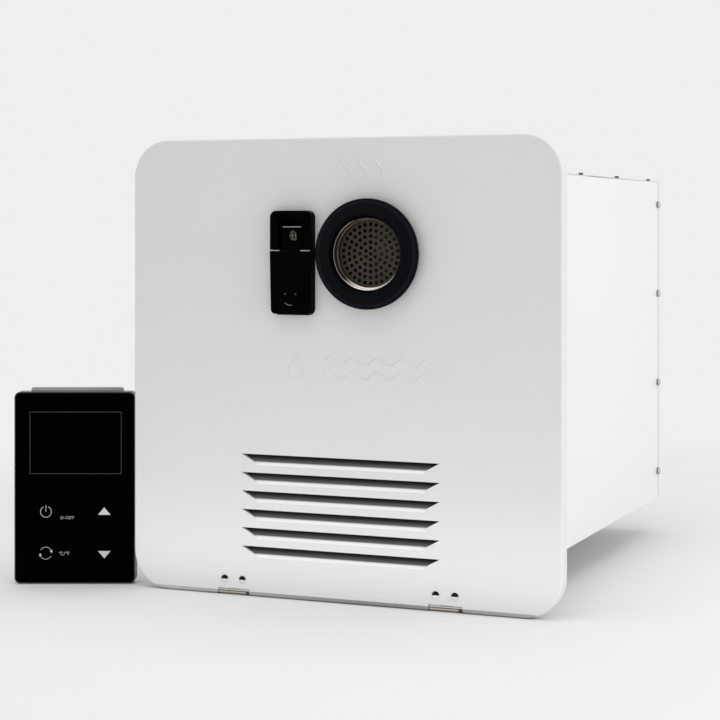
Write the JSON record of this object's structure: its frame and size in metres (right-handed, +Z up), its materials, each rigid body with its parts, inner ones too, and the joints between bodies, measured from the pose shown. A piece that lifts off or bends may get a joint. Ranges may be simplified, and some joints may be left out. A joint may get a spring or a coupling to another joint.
{
  "type": "tankless water heater",
  "caption": "Built-in propane tankless water heater: box casing behind a hinged louvred access door with exhaust outlet and paddle latch, and a wall controller.",
  "frame": {"origin": "centre of the flange's screw pattern, on the flange's back face, which lies against the wall", "axes": "+X to the right seen from the front, +Y into the wall along the casing, +Z up"},
  "size_m": [0.4874, 0.4975, 0.381],
  "materials": {
    "white_paint": "satin white powder coat",
    "casing_metal": "satin pale grey coated sheet",
    "flange_metal": "galvanised sheet",
    "steel": "bright zinc plated",
    "stainless": "polished stainless",
    "grille_metal": "heat-tinted perforated steel",
    "black_rubber": "matte black rubber",
    "black_plastic": "gloss black",
    "zinc_lock": "die-cast zinc",
    "copper": "bare copper",
    "brass": "machined brass",
    "cast_aluminium": "cast, matte",
    "motor_black": "matte black",
    "sensor_plastic": "glass-filled nylon",
    "box_plastic": "textured black plastic",
    "board_green": "solder mask",
    "ceramic": "glazed ceramic and wire",
    "igniter_plastic": "potted plastic",
    "switch_red": "gloss red",
    "controller_black": "gloss black case",
    "controller_front": "gloss black printed glass",
    "screen_grey": "dark display",
    "plate_grey": "moulded grey plastic"
  },
  "bodies": {
    "heater": {"casing_shell": "casing_metal", "top_cover": "casing_metal", "rear_panel": "casing_metal", "wall_flange": "flange_metal", "door_seal": "black_rubber", "case_screws": "steel", "cable_grommet": "black_rubber", "exhaust_pipe": "stainless", "exhaust_grille": "grille_metal", "flue_collector": "flange_metal", "heat_exchanger_shell": "copper", "heat_exchanger_fins": "copper", "heat_exchanger_tubes": "copper", "combustion_chamber": "copper", "ignition_electrodes": "ceramic", "burner_tray": "flange_metal", "burner_bars": "stainless", "gas_manifold": "cast_aluminium", "overheat_thermostats": "steel", "gas_valve_body": "cast_aluminium", "gas_valve_coils": "motor_black", "gas_valve_bracket": "flange_metal", "gas_tubes": "copper", "gas_inlet_fitting": "brass", "fan_housing": "flange_metal", "fan_motor": "motor_black", "cold_water_pipe": "copper", "hot_water_pipe": "copper", "cold_inlet_fitting": "brass", "hot_outlet_fitting": "brass", "flow_sensor_body": "sensor_plastic", "relief_valve_body": "brass", "control_box": "box_plastic", "control_box_lid": "box_plastic", "control_board": "board_green", "power_switch_bezel": "black_plastic", "igniter_module": "igniter_plastic", "hinge_frame_leaves": "steel", "hinge_pins": "steel", "latch_keeper": "steel", "controller_wall_plate": "plate_grey"},
    "door": {"door_panel": "white_paint", "exhaust_seal_ring": "black_rubber", "latch_housing": "black_plastic", "latch_pin": "steel", "hinge_door_leaves": "steel", "hinge_rivets": "steel"},
    "paddle": {"latch_paddle": "black_plastic", "paddle_cap": "black_plastic"},
    "bolt": {"latch_bolt": "steel"},
    "lock": {"lock_cylinder": "zinc_lock"},
    "fan": {"fan_impeller": "stainless", "fan_shaft": "steel"},
    "turbine": {"flow_turbine": "sensor_plastic"},
    "relief_lever": {"relief_valve_lever": "stainless"},
    "rocker": {"power_switch_rocker": "switch_red"},
    "controller": {"controller_case": "controller_black", "controller_glass": "controller_front", "controller_screen": "screen_grey", "controller_board": "board_green"}
  },
  "joints": [
    {"name": "door_hinge", "type": "hinge", "parent": "heater", "child": "door", "pos_m": [0, -0.01, -0.1912], "axis": [1, 0, 0], "range_deg": [0, 170]},
    {"name": "latch_pull", "type": "hinge", "parent": "door", "child": "paddle", "pos_m": [-0.0394, -0.017, 0.044], "axis": [1, 0, 0], "range_deg": [0, 30], "stiffness_Nm_per_rad": 0.3, "springref_deg": -8.59},
    {"name": "bolt_slide", "type": "slide", "parent": "door", "child": "bolt", "axis": [0, 0, -1], "range_m": [0, 0.006]},
    {"name": "lock_turn", "type": "hinge", "parent": "door", "child": "lock", "pos_m": [-0.0394, -0.005, 0.1067], "axis": [0, 1, 0], "range_deg": [0, 90]},
    {"name": "fan_spin", "type": "hinge", "parent": "heater", "child": "fan", "pos_m": [0.028, 0.128, -0.12325], "axis": [0, 1, 0], "continuous": true},
    {"name": "turbine_spin", "type": "hinge", "parent": "heater", "child": "turbine", "pos_m": [-0.068, 0.074, 0.0288], "axis": [1, 0, 0], "continuous": true},
    {"name": "relief_lift", "type": "hinge", "parent": "heater", "child": "relief_lever", "pos_m": [0.126, 0.262, 0.0738], "axis": [-1, 0, 0], "range_deg": [0, 80]},
    {"name": "power_switch", "type": "hinge", "parent": "heater", "child": "rocker", "pos_m": [-0.10125, 0.027, 0.077], "axis": [1, 0, 0], "range_deg": [-11, 11]},
    {"name": "controller_unclip", "type": "slide", "parent": "heater", "child": "controller", "axis": [0, 0, 1], "range_m": [0, 0.012]}
  ],
  "couplings": [
    {"joint": "bolt_slide", "follows": "latch_pull", "m_per_rad": 0.01145}
  ]
}
